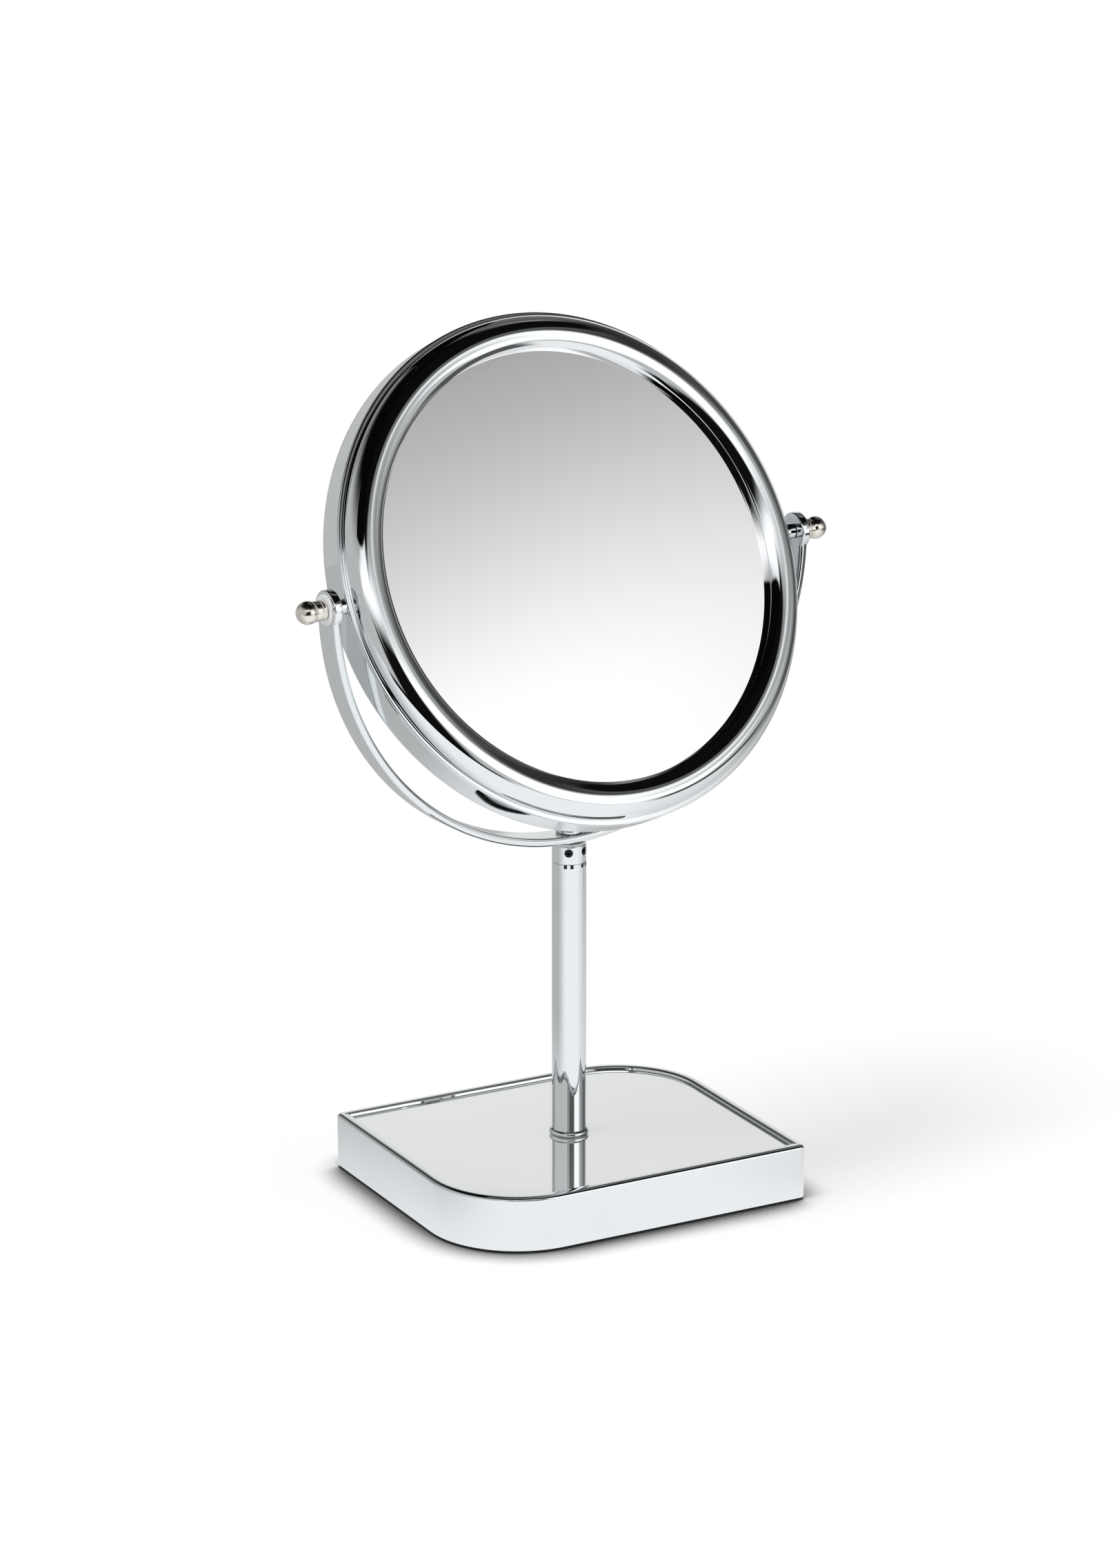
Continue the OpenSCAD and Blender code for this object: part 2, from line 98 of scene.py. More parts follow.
# %% a small kit for nodes
def node(tree, kind, inputs=(), **settings):
    """A node of one kind, with its settings and its inputs' links or values."""
    made = tree.nodes.new(kind)
    for name, value in settings.items():
        setattr(made, name, value)
    for key, value in dict(inputs).items():
        if isinstance(value, bpy.types.NodeSocket):
            tree.links.new(value, made.inputs[key])
        else:
            made.inputs[key].default_value = value
    return made


def maths(tree, operation, *values):
    return node(tree, "ShaderNodeMath", dict(enumerate(values)), operation=operation).outputs[0]


def step(tree, value, start, end):
    """0 before start, 1 after end, and a smooth rise between them."""
    made = node(tree, "ShaderNodeMapRange", {0: value, 1: start, 2: end},
                interpolation_type="SMOOTHSTEP")
    return made.outputs[0]


def blend_colours(tree, factor, first, second):
    made = node(tree, "ShaderNodeMix", {0: factor, 6: first, 7: second}, data_type="RGBA")
    return made.outputs[2]


def mix_shaders(tree, factor, first, second):
    return node(tree, "ShaderNodeMixShader", {0: factor, 1: first, 2: second}).outputs[0]


def grey(value, blue=0.0):
    return (value * (1 - blue), value, value * (1 + blue), 1)


# %% the world
# Walls show where no area covers them, and the plain light is what reaches matt surfaces.
# One row an area: its brightness, its softness in degrees and its corners.
WALLS, PLAIN_LIGHT = 0.56, 0.5
AREAS = [
    (0.54, 1, (-140, 1), (-60.6, -0.3), (-61.1, 57.6), (-139.9, 58.1)),
    (0.3, 1, (-190, 5), (-139.3, 9.4), (-134.8, 53.8), (-190.2, 50)),
    (0.81, 6.7, (115.3, -12.6), (185.8, 11.6), (190.1, 24.8), (108.2, 25.8)),
    (0.002, 6.2, (139.1, 25.1), (187.9, 20.7), (189.9, 70.7), (151.8, 69.4)),
    (0.14, 1, (110.5, 21.8), (155.4, 22.1), (143, 59), (116.9, 54.3)),
    (1.26, 6.1, (20.4, -1), (48, -7.1), (62.8, 30.7), (0.3, 28.4)),
    (0.46, 11.7, (40.2, 12.9), (65.9, 12.3), (53.3, 44.5), (44.5, 23.2)),
    (0.082, 30, (74.2, -21.1), (105, -20.1), (108.8, 26.6), (77.7, 30.6)),
    (0.015, 30, (62.4, 21.6), (120.3, 18.7), (119.2, 40.1), (65.4, 34.3)),
    (1.3, 9.5, (-64.9, 25.1), (-41.9, 26.9), (13.9, 27.8), (36.8, 32.3), (14.9, 39.4),
     (4.3, 43), (-44, 52.7), (-48.5, 33.6)),
    (0.005, 7.3, (-42.1, -8.3), (-8, -14), (0.7, -3.7), (9.4, 29.7), (-37.5, 22.2)),
    (1.3, 1, (-30, 21.3), (-28, 16.6), (-28.8, 24.4), (-30.5, 27.4)),
    (0.002, 29.9, (-191.5, 38.6), (193.4, 58.8), (191.6, 103), (-192.5, 100.6)),
    (0.002, 1.5, (-53, 42.6), (5.6, 43), (6.1, 71.2), (-52.2, 70.9)),
    (0.036, 9.6, (23.4, 35.1), (52.1, 30.8), (120.6, 32.9), (111.8, 52.3),
     (55.1, 41.3), (31, 36.6)),
    (0.004, 7.2, (0.7, 37), (31.3, 38.4), (46.5, 39.7), (104.4, 44.8), (101.6, 78.6), (2.8, 76.9)),
]
world = bpy.data.worlds.new("studio")
bpy.context.scene.world = world
world.use_nodes = True
sky = world.node_tree
sky.nodes.clear()
direction = node(sky, "ShaderNodeTexCoord").outputs["Generated"]
xyz = node(sky, "ShaderNodeSeparateXYZ", {0: direction}).outputs
elevation = maths(sky, "MULTIPLY", maths(sky, "ARCSINE", xyz[2]), 180 / math.pi)
front = maths(sky, "MULTIPLY", xyz[1], -1)
azimuth = maths(sky, "MULTIPLY", maths(sky, "ARCTAN2", xyz[0], front), 180 / math.pi)


def area_mask(corners, soft):
    """1 inside a convex shape in azimuth and elevation and 0 outside, with soft edges."""
    mask = None
    middle = Vector((sum(c[0] for c in corners), sum(c[1] for c in corners))) / len(corners)
    for first, second in zip(corners, corners[1:] + corners[:1]):
        along = (Vector(second) - Vector(first)).normalized()
        inward = Vector((-along.y, along.x))
        if inward.dot(middle - Vector(first)) < 0:
            inward.negate()
        reach = maths(sky, "ADD", maths(sky, "MULTIPLY", azimuth, inward.x),
                      maths(sky, "MULTIPLY", elevation, inward.y))
        start = inward.dot(Vector(first))
        edge = step(sky, reach, start - soft / 2, start + soft / 2)
        mask = edge if mask is None else maths(sky, "MINIMUM", mask, edge)
    return mask


room = node(sky, "ShaderNodeRGB").outputs[0]
room.default_value = grey(WALLS)
for value, soft, *corners in AREAS:
    room = blend_colours(sky, area_mask(corners, soft), room, grey(value))
paths = node(sky, "ShaderNodeLightPath").outputs
seen = node(sky, "ShaderNodeBackground", {0: room, 1: 1.0}).outputs[0]
lit = node(sky, "ShaderNodeBackground", {0: grey(1), 1: PLAIN_LIGHT}).outputs[0]
white = node(sky, "ShaderNodeBackground", {0: grey(1), 1: 1.0}).outputs[0]
by_gloss = mix_shaders(sky, paths["Is Glossy Ray"], lit, seen)
by_camera = mix_shaders(sky, paths["Is Camera Ray"], by_gloss, white)
node(sky, "ShaderNodeOutputWorld", {0: by_camera})
print("areas in the room:", len(AREAS))

# %% [markdown]
# The floor is a wide plain disc. To the camera it is white, and the part of its light that
# comes from the lamps can be shaded, so that the object keeps a soft shadow on it. Where the
# object meets it, an occlusion mask paints shade into both its glow and its colour. In
# reflections it has painted shade: it falls off to grey towards the rear and the right, and
# farther away also towards the front, as a studio floor does away from its lamps.

# %% the floor
FLOOR_RADIUS, FLOOR_TONE = 2.2, 0.82
# The last value here is the colour painted into the floor as shade where the object meets it. The
# next row sets how far that painted shade reaches, and where it is full and where it ends.
GLOW, SHADED, PAINTED_CONTACT_SHADE = 0.53, 0.42, 0.04
CONTACT_REACH, CONTACT_DARK, CONTACT_CLEAR = 0.02, 0.44, 0.90
# One row a patch of painted shade seen in reflections: its azimuth, the angles beside it where
# it starts and is full, the distances where it starts and is full, and its brightness.
PAINTED_FLOOR_SHADE = [
    (-168, 127, 57, 0, 0.21, 0.51),
    (79, 54, 0, 0.08, 0.13, 0.82),
    (93, 31, 4, 0, 0.9, 0.09),
    (-28, 38, 30, 0.96, 1.14, 0),
    (56, 20, 13, 0.74, 0.80, 0.1),
]
bpy.ops.object.select_all(action="DESELECT")
bpy.ops.mesh.primitive_circle_add(vertices=96, radius=FLOOR_RADIUS, fill_type="NGON")
floor = bpy.context.object
floor.name = "floor"
paint = bpy.data.materials.new("floor_paint")
paint.use_nodes = True
tree = paint.node_tree
tree.nodes.clear()
spot = node(tree, "ShaderNodeTexCoord").outputs["Object"]
distance = node(tree, "ShaderNodeVectorMath", {0: spot}, operation="LENGTH").outputs["Value"]
bearing = node(tree, "ShaderNodeVectorMath", {0: spot}, operation="NORMALIZE").outputs[0]


def falloff(azimuth_deg, wide, full, near, far):
    """Rises to 1 towards one side of the floor and away from the object."""
    side = towards(math.radians(azimuth_deg), 0)
    product = node(tree, "ShaderNodeVectorMath", {0: bearing, 1: side}, operation="DOT_PRODUCT")
    sector = step(tree, product.outputs["Value"],
                  math.cos(math.radians(wide)), math.cos(math.radians(full)))
    return maths(tree, "MULTIPLY", sector, step(tree, distance, near, far))


seen_floor = grey(1, 0.01)
for *where, value in PAINTED_FLOOR_SHADE:
    seen_floor = blend_colours(tree, falloff(*where), seen_floor, grey(value))
matt = node(tree, "ShaderNodeBsdfDiffuse", {0: grey(FLOOR_TONE)}).outputs[0]
# An occlusion mask paints shade where the object meets the floor. There it takes the glow down to
# black and the colour down to a near black.
painted_contact_shade_mask = node(tree, "ShaderNodeAmbientOcclusion", {"Distance": CONTACT_REACH}, samples=8)
painted_contact_shade_mask = step(tree, painted_contact_shade_mask.outputs["AO"], CONTACT_DARK, CONTACT_CLEAR)
under = blend_colours(tree, painted_contact_shade_mask, grey(0), grey(GLOW))
glow = node(tree, "ShaderNodeEmission", {0: under, 1: 1.0}).outputs[0]
shade = blend_colours(tree, painted_contact_shade_mask, grey(PAINTED_CONTACT_SHADE), grey(SHADED))
shaded = node(tree, "ShaderNodeBsdfDiffuse", {0: shade}).outputs[0]
mirrored = node(tree, "ShaderNodeEmission", {0: seen_floor, 1: 1.0}).outputs[0]
shown = node(tree, "ShaderNodeAddShader", {0: shaded, 1: glow}).outputs[0]
paths = node(tree, "ShaderNodeLightPath").outputs
surface = mix_shaders(tree, paths["Is Camera Ray"], matt, shown)
surface = mix_shaders(tree, paths["Is Glossy Ray"], surface, mirrored)
node(tree, "ShaderNodeOutputMaterial", {0: surface})
floor.data.materials.append(paint)
print("floor radius:", FLOOR_RADIUS, "m")

# %% [markdown]
# A wide, high sun from the left lays the head's soft shadow on the floor right of the base,
# and a weak one from the other side fills it. A sun has the same strength all over the
# floor. Chrome would show them as hard white shapes, so neither is seen in reflections: the
# room does that work.

# %% the lamps
LAMP_DISTANCE = 3


def sun(name, azimuth_deg, elevation_deg, wide_deg, power):
    """A sun lamp that looks at the middle of the object, as wide as a softbox looks."""
    aim = towards(math.radians(azimuth_deg), math.radians(elevation_deg))
    bpy.ops.object.select_all(action="DESELECT")
    bpy.ops.object.light_add(type="SUN", location=CAMERA_TARGET + aim * LAMP_DISTANCE)
    made = bpy.context.object
    made.name = name
    made.rotation_euler = (-aim).to_track_quat("-Z", "Y").to_euler()
    made.data.energy = power
    made.data.angle = math.radians(wide_deg)
    made.visible_glossy = False
    print(name, "is", wide_deg, "degrees wide")


sun("key_sun", -93, 63, 24, 2.05)
sun("fill_sun", 50, 60, 50, 0.45)

# %% [markdown]
# Sizes are the solids' own, repeated here because this script reads only the frame. The
# head has a frame of its own: X along the pivots and Z out of the plain mirror, with its
# origin where the pivots' axis crosses the post's.

# %% sizes and frames
RIM_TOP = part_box("base_band")[1][2]
GLASS_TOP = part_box("base_glass")[1][2]
POST_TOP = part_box("post_tube")[1][2]
POST_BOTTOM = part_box("post_tube")[0][2]
GUIDE_FLANGE = 0.8 * MM
CAP_BOTTOM = POST_TOP + GUIDE_FLANGE
CAP_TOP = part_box("mast_cap")[1][2]
PIVOT_HEIGHT = (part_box("left_knob")[0][2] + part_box("left_knob")[1][2]) / 2
HEAD_TILT, YOKE_SWING = math.radians(26.5), math.radians(5)
yoke_frame = Matrix.Translation((0, 0, PIVOT_HEIGHT)) @ Matrix.Rotation(YOKE_SWING, 4, "Z")
head_frame = yoke_frame @ Matrix.Rotation(math.pi / 2 - HEAD_TILT, 4, "X")
on_left = Matrix.Rotation(-math.pi / 2, 4, "Y")
on_right = Matrix.Rotation(math.pi / 2, 4, "Y")
still = Matrix.Identity(4)
print("pivot height:", round(PIVOT_HEIGHT / MM, 2), "mm, cap top:", round(CAP_TOP / MM, 2), "mm")

# %% [markdown]
# Most of this object was turned or spun, so most of it is modelled that way: a point is
# extruded along the section of the part, and the section is spun about the part's axis.
# Arcs in a section are given as lists of points. A section that starts and ends on the
# axis closes by itself, and a ring's section ends where it starts.

# %% turning on a lathe
# OVER is how far a cutting tool reaches past the face it cuts, in millimetres.
OVER, MERGE = 1, 1e-6


def arc(centre, radii, from_deg, to_deg, count):
    """Points on a quarter or more of an ellipse, in millimetres."""
    turn = [math.radians(from_deg + (to_deg - from_deg) * i / count) for i in range(count + 1)]
    return [(centre[0] + radii[0] * math.cos(a), centre[1] + radii[1] * math.sin(a)) for a in turn]


def bow(start, pull, end, count):
    """Points on a smooth curve from start to end, drawn towards a third point."""
    points = []
    for i in range(count + 1):
        t = i / count
        points.append(tuple(
            start[k] * (1 - t) ** 2 + pull[k] * 2 * t * (1 - t) + end[k] * t * t for k in (0, 1)
        ))
    return points


def seat(piece, place):
    """Puts a piece in its place, with its object at the origin and its place in its mesh."""
    bpy.ops.object.select_all(action="DESELECT")
    bpy.context.view_layer.objects.active = piece
    piece.select_set(True)
    piece.matrix_world = place @ piece.matrix_world
    bpy.ops.object.transform_apply(location=True, rotation=True, scale=True)


def tidy_faces(piece, sharp_deg=35):
    """Merges what meets, turns all faces outwards and smooths all but the sharp edges."""
    bpy.ops.object.select_all(action="DESELECT")
    bpy.context.view_layer.objects.active = piece
    piece.select_set(True)
    bpy.ops.object.mode_set(mode="EDIT")
    bpy.ops.mesh.select_all(action="SELECT")
    bpy.ops.mesh.remove_doubles(threshold=MERGE)
    bpy.ops.mesh.normals_make_consistent(inside=False)
    bpy.ops.object.mode_set(mode="OBJECT")
    bpy.ops.object.shade_smooth_by_angle(angle=math.radians(sharp_deg))


def turned(name, section, steps=192, place=still, sharp_deg=35):
    """A section of (radius, height) points in millimetres, spun about Z into a solid."""
    bpy.ops.object.select_all(action="DESELECT")
    bpy.ops.mesh.primitive_plane_add(size=MM)
    piece = bpy.context.object
    piece.name = piece.data.name = name
    bpy.ops.object.mode_set(mode="EDIT")
    bpy.ops.mesh.select_all(action="SELECT")
    bpy.ops.mesh.merge(type="CENTER")
    points = [Vector((r * MM, 0, z * MM)) for r, z in section]
    bpy.ops.transform.translate(value=points[0])
    for before, after in zip(points, points[1:]):
        bpy.ops.mesh.extrude_vertices_move(TRANSFORM_OT_translate={"value": after - before})
    bpy.ops.mesh.select_all(action="SELECT")
    bpy.ops.mesh.spin(steps=steps, angle=math.tau, center=(0, 0, 0), axis=(0, 0, 1))
    bpy.ops.object.mode_set(mode="OBJECT")
    tidy_faces(piece, sharp_deg)
    seat(piece, place)
    print(name, "has", len(piece.data.polygons), "faces")
    return piece


def combine(piece, other, operation):
    """Joins another solid to a piece, or cuts it out, and removes the other."""
    modifier = piece.modifiers.new("combine", "BOOLEAN")
    modifier.operation = operation
    modifier.solver = "EXACT"
    modifier.object = other
    bpy.ops.object.select_all(action="DESELECT")
    bpy.context.view_layer.objects.active = piece
    piece.select_set(True)
    bpy.ops.object.modifier_apply(modifier="combine")
    bpy.data.objects.remove(other)


def cutter(radius, bottom, top, place=still, sides=64):
    """A plain round or six-sided tool for cutting holes, along Z, in millimetres."""
    bpy.ops.object.select_all(action="DESELECT")
    bpy.ops.mesh.primitive_cylinder_add(
        vertices=sides, radius=radius * MM, depth=(top - bottom) * MM,
        location=(0, 0, (top + bottom) / 2 * MM),
    )
    tool = bpy.context.object
    seat(tool, place)
    return tool


# %% [markdown]
# Every finish has the same kinds of fine detail at its own strength: a slow change of
# tone, a fine grain, and the marks that wiping leaves. One node group makes them from
# the place on the object, and each material takes what it needs.

# %% shared surface detail
WIPED = (0.52, 0.78)
CLOUD_HEIGHT, GRAIN_HEIGHT, CLOUD_ROUGHNESS = 0.6, 0.4, 0.5


def surface_group():
    """Inputs: a place and the scales of three patterns. Outputs: two masks and a height."""
    group = bpy.data.node_groups.new("surface_detail", "ShaderNodeTree")
    for name, kind in (("Place", "NodeSocketVector"), ("Cloud Scale", "NodeSocketFloat"),
                       ("Grain Scale", "NodeSocketFloat"), ("Wipe Scale", "NodeSocketFloat")):
        group.interface.new_socket(name=name, in_out="INPUT", socket_type=kind)
    for name in ("Cloud", "Wipe", "Height"):
        group.interface.new_socket(name=name, in_out="OUTPUT", socket_type="NodeSocketFloat")
    source = group.nodes.new("NodeGroupInput").outputs
    cloud = node(group, "ShaderNodeTexNoise", {
        "Vector": source["Place"], "Scale": source["Cloud Scale"], "Detail": 3.0,
        "Roughness": 0.55,
    }).outputs[0]
    grain = node(group, "ShaderNodeTexNoise", {
        "Vector": source["Place"], "Scale": source["Grain Scale"], "Detail": 2.0,
        "Roughness": 0.6,
    }).outputs[0]
    stretched = node(group, "ShaderNodeMapping", {
        "Vector": source["Place"], "Scale": (1, 0.25, 3.2), "Rotation": (0.5, 0.35, 0.8),
    }).outputs[0]
    wipe = node(group, "ShaderNodeTexNoise", {
        "Vector": stretched, "Scale": source["Wipe Scale"], "Detail": 5.0, "Roughness": 0.7,
        "Distortion": 0.4,
    }).outputs[0]
    wiped = step(group, wipe, *WIPED)
    height = maths(group, "ADD", maths(group, "MULTIPLY", cloud, CLOUD_HEIGHT),
                   maths(group, "MULTIPLY", grain, GRAIN_HEIGHT))
    end = group.nodes.new("NodeGroupOutput")
    for name, value in (("Cloud", cloud), ("Wipe", wiped), ("Height", height)):
        group.links.new(value, end.inputs[name])
    return group


detail_group = surface_group()


def finish(name, colour, other, rough, rough_spread, bump_mm, cloud, grain, wipe, **constants):
    """A material whose tone, roughness and surface vary; constants go on the shader itself."""
    material = bpy.data.materials.new(name)
    material.use_nodes = True
    made = material.node_tree
    shader = made.nodes["Principled BSDF"]
    place = node(made, "ShaderNodeTexCoord").outputs["Object"]
    detail = node(made, "ShaderNodeGroup", node_tree=detail_group)
    made.links.new(place, detail.inputs["Place"])
    detail.inputs["Cloud Scale"].default_value = cloud
    detail.inputs["Grain Scale"].default_value = grain
    detail.inputs["Wipe Scale"].default_value = wipe
    made.links.new(blend_colours(made, detail.outputs["Cloud"], colour, other),
                   shader.inputs["Base Color"])
    marks = maths(made, "ADD", maths(made, "MULTIPLY", detail.outputs["Wipe"], rough_spread),
                  maths(made, "MULTIPLY", detail.outputs["Cloud"], rough_spread * CLOUD_ROUGHNESS))
    made.links.new(maths(made, "ADD", marks, rough), shader.inputs["Roughness"])
    bump = node(made, "ShaderNodeBump", {"Height": detail.outputs["Height"], "Strength": 1.0,
                                         "Distance": bump_mm * MM})
    made.links.new(bump.outputs[0], shader.inputs["Normal"])
    for key, value in constants.items():
        shader.inputs[key.replace("_", " ")].default_value = value
    return material


# %% [markdown]
# Chrome plate is bright, slightly blue and almost smooth, with faint wiping marks. Nickel
# is warmer. The mirrors are float glass with silver behind: flatter and cleaner than the
# plate. The one on the base is lower down and gets dusted and wiped, so it has a thin veil.
# The hidden parts have their own plain trade finishes.

# %% the finishes
# One row a finish: its name, its colour and its other tone, its roughness and the spread of
# that, its relief in millimetres, the scales of the three patterns, and the constants.
FINISHES = {
    "chrome": finish("chrome_plate", (0.79, 0.82, 0.835, 1), (0.85, 0.875, 0.885, 1), 0.018, 0.03,
                     0.0004, 38, 900, 55, Metallic=1.0),
    "mirror_glass": finish("silvered_glass", (0.905, 0.887, 0.895, 1), (0.935, 0.917, 0.925, 1),
                           0.0, 0.012, 0.00005, 18, 500, 30, Metallic=1.0, Coat_Weight=0.25,
                           Coat_Roughness=0.0),
    "nickel": finish("nickel_plate", (0.80, 0.75, 0.67, 1), (0.90, 0.87, 0.80, 1), 0.14, 0.10,
                     0.002, 260, 2200, 300, Metallic=1.0),
    "zinc_steel": finish("zinc_plate", (0.55, 0.56, 0.58, 1), (0.70, 0.71, 0.70, 1), 0.28, 0.2,
                         0.01, 220, 2600, 240, Metallic=1.0),
    "black_steel": finish("black_oxide", (0.012, 0.012, 0.014, 1), (0.03, 0.03, 0.034, 1), 0.34,
                          0.2, 0.006, 320, 2600, 300, Metallic=0.6),
    "cast_iron": finish("cast_iron", (0.075, 0.072, 0.07, 1), (0.15, 0.145, 0.14, 1), 0.55, 0.25,
                        0.12, 90, 1300, 120, Metallic=0.7),
    "pad_rubber": finish("pad_rubber", (0.018, 0.018, 0.019, 1), (0.038, 0.038, 0.04, 1), 0.62,
                         0.2, 0.05, 70, 1800, 90, Metallic=0.0),
    "foam": finish("foam_sheet", (0.07, 0.07, 0.075, 1), (0.13, 0.13, 0.135, 1), 0.85, 0.1,
                   0.12, 120, 2400, 100, Metallic=0.0),
    "white_nylon": finish("white_nylon", (0.89, 0.89, 0.87, 1), (0.94, 0.94, 0.92, 1), 0.36, 0.15,
                          0.006, 150, 1500, 200, Metallic=0.0, Subsurface_Weight=0.08),
    "black_nylon": finish("black_nylon", (0.02, 0.02, 0.022, 1), (0.04, 0.04, 0.042, 1), 0.42,
                          0.15, 0.008, 150, 1500, 200, Metallic=0.0),
    "black_plastic": finish("black_plastic", (0.018, 0.018, 0.02, 1), (0.035, 0.035, 0.037, 1),
                            0.4, 0.18, 0.02, 110, 1200, 150, Metallic=0.0),
}
BASE_GLASS = finish("handled_glass", (0.87, 0.89, 0.88, 1), (0.91, 0.925, 0.92, 1), 0.0, 0.014,
                    0.00006, 18, 600, 40, Metallic=0.87, Coat_Weight=0.2, Coat_Roughness=0.0)
SLOT_OF = {part["node"]: part["material_slot"] for part in frame["record"]["subparts"]}
for name, solid in frame["nodes"].items():
    solid.data.materials.clear()
    solid.data.materials.append(BASE_GLASS if name == "base_glass" else FINISHES[SLOT_OF[name]])
print("finishes:", len(FINISHES), "put on", len(frame["nodes"]), "nodes")


def fit(piece, body, *nodes):
    """Gives a finished piece the finish of its nodes' slot and its body, and hides the nodes it
    stands for.
    """
    slot = SLOT_OF[nodes[0]]
    piece.data.materials.clear()
    piece.data.materials.append(FINISHES[slot])
    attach(piece, body)
    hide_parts(*nodes)


# %% [markdown]
# The base's outline is a rectangle with two wide corners and two tight ones. A plane with
# its corners bevelled gives one outline. The band, the pad and the pane each have one such
# outline for each line of their section: the first is extruded again and again, and each
# new row of points is moved onto the next outline. That keeps every corner clean, where an
# inset would fold the tight corners over themselves.

# %% outlines of the base
BASE_WIDTH, BASE_DEPTH = 138.0, 114.0
WIDE_CORNER, TIGHT_CORNER, TIGHTEST = 36.0, 2.4, 0.5
WIDE_STEPS, TIGHT_STEPS = 28, 10
MATCH = 1e-7
HOLE_BOTTOM, HOLE_TOP = -5, 40


def add_outline(inset, height):
    """A flat outline of the base, drawn in by inset, in millimetres, as an object of edges."""
    half_x, half_y = BASE_WIDTH / 2 - inset, BASE_DEPTH / 2 - inset
    bpy.ops.object.select_all(action="DESELECT")
    bpy.ops.mesh.primitive_plane_add(size=2 * MM, location=(0, 0, height * MM))
    made = bpy.context.object
    made.scale = (half_x, half_y, 1)
    bpy.ops.object.transform_apply(location=True, rotation=True, scale=True)
    bpy.ops.object.mode_set(mode="EDIT")
    bpy.ops.mesh.select_mode(type="VERT")
    for wide, radius, steps in ((True, WIDE_CORNER - inset, WIDE_STEPS),
                                (False, max(TIGHT_CORNER - inset, TIGHTEST), TIGHT_STEPS)):
        mesh = bmesh.from_edit_mesh(made.data)
        for v in mesh.verts:
            corner = (abs(abs(v.co.x) - half_x * MM) < MATCH
                      and abs(abs(v.co.y) - half_y * MM) < MATCH)
            v.select = corner and (v.co.x * v.co.y > 0) == wide
        mesh.select_flush_mode()
        bmesh.update_edit_mesh(made.data)
        bpy.ops.mesh.bevel(offset=radius * MM, segments=steps, affect="VERTICES",
                           clamp_overlap=False)
    bpy.ops.mesh.select_all(action="SELECT")
    bpy.ops.mesh.delete(type="ONLY_FACE")
    bpy.ops.object.mode_set(mode="OBJECT")
    return made


def outline_solid(name, rows, closed, hole=0.0):
    """Draws an outline through rows of (inset, height) into a ring or, with caps, into a plate."""
    shapes = []
    for inset, height in rows[1:] + (rows[:1] if closed else []):
        spare = add_outline(inset, height)
        shapes.append([v.co.copy() for v in spare.data.vertices])
        bpy.data.objects.remove(spare)
    piece = add_outline(*rows[0])
    piece.name = piece.data.name = name
    here = [v.co.copy() for v in piece.data.vertices]
    first = len(here)
    bpy.ops.object.mode_set(mode="EDIT")
    bpy.ops.mesh.select_all(action="SELECT")
    for shape in shapes:
        bpy.ops.mesh.extrude_edges_move(TRANSFORM_OT_translate={"value": (0, 0, 0)})
        mesh = bmesh.from_edit_mesh(piece.data)
        for v in mesh.verts:
            if v.select:
                v.co = shape[min(range(first), key=lambda i: (v.co - here[i]).length_squared)]
        bmesh.update_edit_mesh(piece.data)
        here = shape
    if not closed:
        bpy.ops.mesh.edge_face_add()
        mesh = bmesh.from_edit_mesh(piece.data)
        mesh.verts.index_update()
        for v in mesh.verts:
            v.select = v.index < first
        mesh.select_flush_mode()
        bmesh.update_edit_mesh(piece.data)
        bpy.ops.mesh.edge_face_add()
    bpy.ops.object.mode_set(mode="OBJECT")
    tidy_faces(piece)
    if hole:
        combine(piece, cutter(hole / 2, HOLE_BOTTOM, HOLE_TOP), "DIFFERENCE")
        tidy_faces(piece)
    print(name, "has", len(piece.data.polygons), "faces")
    return piece


# %% [markdown]
# The band is a strip of brass bent to the outline and plated. Its outer top edge is
# rounded, and so is its inner one, a little, because plating never ends in a true corner.

# %% the band of the base
PAD = 1.0
rim = RIM_TOP / MM
RIM_WIDTH, OUTER_ROUND, INNER_ROUND, FOOT_EASE = 4.0, 1.2, 0.4, 0.25
FLANGE, FLANGE_THICKNESS = 7.0, 1.6
foot = PAD + FLANGE_THICKNESS
outer_edge = [(OUTER_ROUND - x, rim - OUTER_ROUND + z)
              for x, z in arc((0, 0), (OUTER_ROUND,) * 2, 0, 90, 6)]
inner_edge = [(RIM_WIDTH - INNER_ROUND + x, rim - INNER_ROUND + z)
              for x, z in reversed(arc((0, 0), (INNER_ROUND,) * 2, 0, 90, 3))]
band = outline_solid("bent_band", [
    (FOOT_EASE, PAD), (0, PAD + FOOT_EASE), *outer_edge, *inner_edge, (RIM_WIDTH, foot),
    (RIM_WIDTH + FLANGE, foot), (RIM_WIDTH + FLANGE, PAD),
], closed=True)
fit(band, "base", "base_band")

# %% [markdown]
# The pad under the base is moulded rubber with a rounded edge and a raised rib all round,
# so that it grips. Its hole gives room for the bolt that holds the post.

# %% the pad
PAD_INSET, PAD_ROUND, PAD_HOLE = 2.5, 0.35, 24.0
RIB_WIDTH, RIB_SLOPE_END, RIB_HEIGHT = 1.9, 2.2, 0.25
pad = outline_solid("grip_pad", [
    (PAD_INSET + RIB_SLOPE_END, RIB_HEIGHT), (PAD_INSET + RIB_WIDTH, 0.0),
    (PAD_INSET + PAD_ROUND, 0.0), (PAD_INSET, PAD_ROUND), (PAD_INSET, PAD),
], closed=False, hole=PAD_HOLE)
fit(pad, "base", "base_pad")

# %% [markdown]
# A mirror covers the ballast inside the band. It is a pane of float glass with ground
# edges and a drilled hole for the post.

